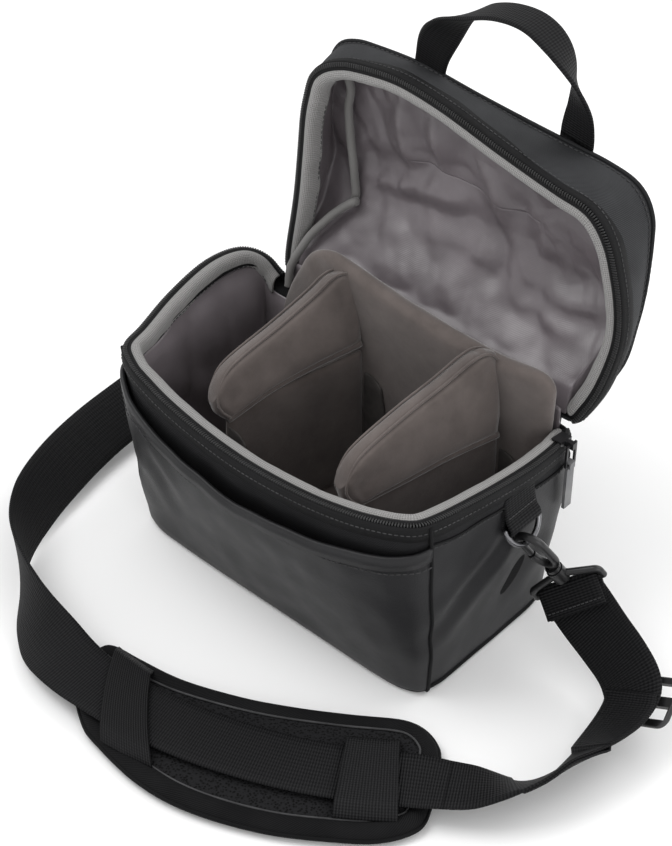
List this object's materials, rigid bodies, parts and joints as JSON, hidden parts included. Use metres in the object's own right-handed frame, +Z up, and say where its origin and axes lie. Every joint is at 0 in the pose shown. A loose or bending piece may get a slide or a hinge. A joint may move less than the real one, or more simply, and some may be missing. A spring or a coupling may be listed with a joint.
{
  "type": "camera bag",
  "caption": "Soft-sided camera bag with hinged zip lid, padded fold-down dividers, front slip pocket, carry handle and clip-on shoulder strap with pad.",
  "frame": {"origin": "centre of the base, on the ground the bag stands on", "axes": "+Z up, -Y towards the front of the bag, +X towards the bag's right-hand side as seen from the front"},
  "size_m": [0.4371, 0.3336, 0.3387],
  "materials": {
    "coated_fabric": "dark charcoal coated fabric with a fine leather-like grain, semi-matt",
    "nylon_twill": "dark grey nylon twill",
    "padding": "warm grey fleece over foam",
    "nylon_lining": "grey satin nylon lining over foam",
    "fleece": "warm grey brushed fleece over foam",
    "hook_tape": "hook tape",
    "stiffener": "plain plastic board",
    "zip_tape": "black woven tape",
    "zip_teeth": "black coil teeth",
    "binding": "light grey woven binding",
    "webbing": "black ribbed webbing",
    "zip_metal": "black painted metal",
    "pull_tab": "grey moulded pull",
    "ring_metal": "dark nickel",
    "hook_metal": "black painted metal, satin",
    "buckle_plastic": "black moulded plastic",
    "pad_fabric": "black mesh and nylon over foam, bound edge",
    "pad_mesh": "black air mesh"
  },
  "bodies": {
    "bag": {"front_panel": "coated_fabric", "back_panel": "coated_fabric", "side_left_panel": "coated_fabric", "side_right_panel": "coated_fabric", "base_panel": "coated_fabric", "front_pocket_panel": "coated_fabric", "front_pocket_gusset": "coated_fabric", "hinge_strip": "nylon_twill", "floor_padding": "padding", "front_padding": "nylon_lining", "side_left_padding": "nylon_lining", "side_right_padding": "nylon_lining", "back_padding": "fleece", "back_padding_flap": "fleece", "base_stiffener": "stiffener", "body_zip_tape": "zip_tape", "body_zip_teeth": "zip_teeth", "body_rim_binding": "binding", "ring_tab_left": "webbing", "ring_tab_right": "webbing", "strap_webbing": "webbing", "swivel_base_left": "hook_metal", "swivel_base_right": "hook_metal"},
    "lid": {"lid_top_panel": "nylon_twill", "lid_front_wall": "nylon_twill", "lid_back_wall": "nylon_twill", "lid_side_wall_left": "nylon_twill", "lid_side_wall_right": "nylon_twill", "lid_lining": "nylon_lining", "lid_zip_tape": "zip_tape", "lid_zip_teeth": "zip_teeth", "lid_rim_binding": "binding", "handle_anchors": "webbing"},
    "handle": {"carry_handle": "webbing"},
    "slider": {"zip_slider": "zip_metal"},
    "pull_ring": {"zip_pull_ring": "zip_metal"},
    "pull_tab": {"zip_pull_tab": "pull_tab"},
    "divider_left": {"divider_left_panel": "fleece", "divider_left_tabs": "hook_tape"},
    "flap_left": {"divider_left_flap": "fleece"},
    "divider_right": {"divider_right_panel": "fleece", "divider_right_tabs": "hook_tape"},
    "flap_right": {"divider_right_flap": "fleece"},
    "ring_left": {"d_ring_left": "ring_metal"},
    "ring_right": {"d_ring_right": "ring_metal"},
    "hook_left": {"snap_hook_left": "hook_metal"},
    "hook_right": {"snap_hook_right": "hook_metal"},
    "gate_left": {"hook_gate_left": "hook_metal"},
    "gate_right": {"hook_gate_right": "hook_metal"},
    "adjuster": {"strap_adjuster": "buckle_plastic"},
    "pad": {"shoulder_pad": "pad_fabric", "pad_top_panel": "pad_mesh", "pad_band_left": "webbing", "pad_band_right": "webbing"}
  },
  "joints": [
    {"name": "lid_hinge", "type": "hinge", "parent": "bag", "child": "lid", "pos_m": [0, 0.0675, 0.122], "axis": [-1, 0, 0], "range_deg": [-84, 10]},
    {"name": "handle_fold", "type": "hinge", "parent": "lid", "child": "handle", "pos_m": [0, 0.1106, 0.2639], "axis": [-1, 0, 0], "range_deg": [0, 90]},
    {"name": "zip_travel", "type": "slide", "parent": "bag", "child": "slider", "axis": [0, -0.9915, 0.1298], "range_m": [0, 0.021]},
    {"name": "pull_ring_swing", "type": "hinge", "parent": "slider", "child": "pull_ring", "pos_m": [0.1234, 0.04989, 0.12635], "axis": [0, -1, 0], "range_deg": [0, 70]},
    {"name": "pull_tab_swing", "type": "hinge", "parent": "pull_ring", "child": "pull_tab", "pos_m": [0.1234, 0.04989, 0.11235], "axis": [0, -1, 0], "range_deg": [0, 60]},
    {"name": "divider_left_shift", "type": "slide", "parent": "bag", "child": "divider_left", "axis": [1, 0, 0], "range_m": [-0.012, 0.025]},
    {"name": "divider_left_fold", "type": "hinge", "parent": "divider_left", "child": "flap_left", "pos_m": [-0.048, 0, 0.11], "axis": [0.2419, 0.9703, 0], "range_deg": [0, 85]},
    {"name": "divider_right_shift", "type": "slide", "parent": "bag", "child": "divider_right", "axis": [1, 0, 0], "range_m": [-0.025, 0.008]},
    {"name": "divider_right_fold", "type": "hinge", "parent": "divider_right", "child": "flap_right", "pos_m": [0.06, 0, 0.11], "axis": [0.2419, 0.9703, 0], "range_deg": [0, 50]},
    {"name": "ring_left_swing", "type": "hinge", "parent": "bag", "child": "ring_left", "pos_m": [-0.123, 0.008, 0.098], "axis": [0, 1, 0], "range_deg": [-2, 2]},
    {"name": "ring_right_swing", "type": "hinge", "parent": "bag", "child": "ring_right", "pos_m": [0.123, 0.008, 0.098], "axis": [0, -1, 0], "range_deg": [-2, 2]},
    {"name": "hook_left_swivel", "type": "hinge", "parent": "bag", "child": "hook_left", "pos_m": [-0.1457, 0.02873, 0.04658], "axis": [-0.3568, 0.4408, -0.8236], "range_deg": [-6, 6]},
    {"name": "hook_right_swivel", "type": "hinge", "parent": "bag", "child": "hook_right", "pos_m": [0.1457, 0.02873, 0.04658], "axis": [0.3568, 0.4408, -0.8236], "range_deg": [-6, 6]},
    {"name": "gate_left_press", "type": "hinge", "parent": "hook_left", "child": "gate_left", "pos_m": [-0.12679, 0.01444, 0.07009], "axis": [-0.1752, -0.8976, -0.4045], "range_deg": [0, 22], "stiffness_Nm_per_rad": 0.02, "springref_deg": -17.19},
    {"name": "gate_right_press", "type": "hinge", "parent": "hook_right", "child": "gate_right", "pos_m": [0.12679, 0.01444, 0.07009], "axis": [-0.1752, 0.8976, 0.4045], "range_deg": [0, 22], "stiffness_Nm_per_rad": 0.02, "springref_deg": -17.19},
    {"name": "adjuster_slide", "type": "slide", "parent": "bag", "child": "adjuster", "axis": [0.229, -0.889, -0.3965], "range_m": [-0.0015, 0.0015]},
    {"name": "pad_slide", "type": "slide", "parent": "bag", "child": "pad", "axis": [0.9397, 0.3419, 0], "range_m": [-0.004, 0.004]}
  ]
}
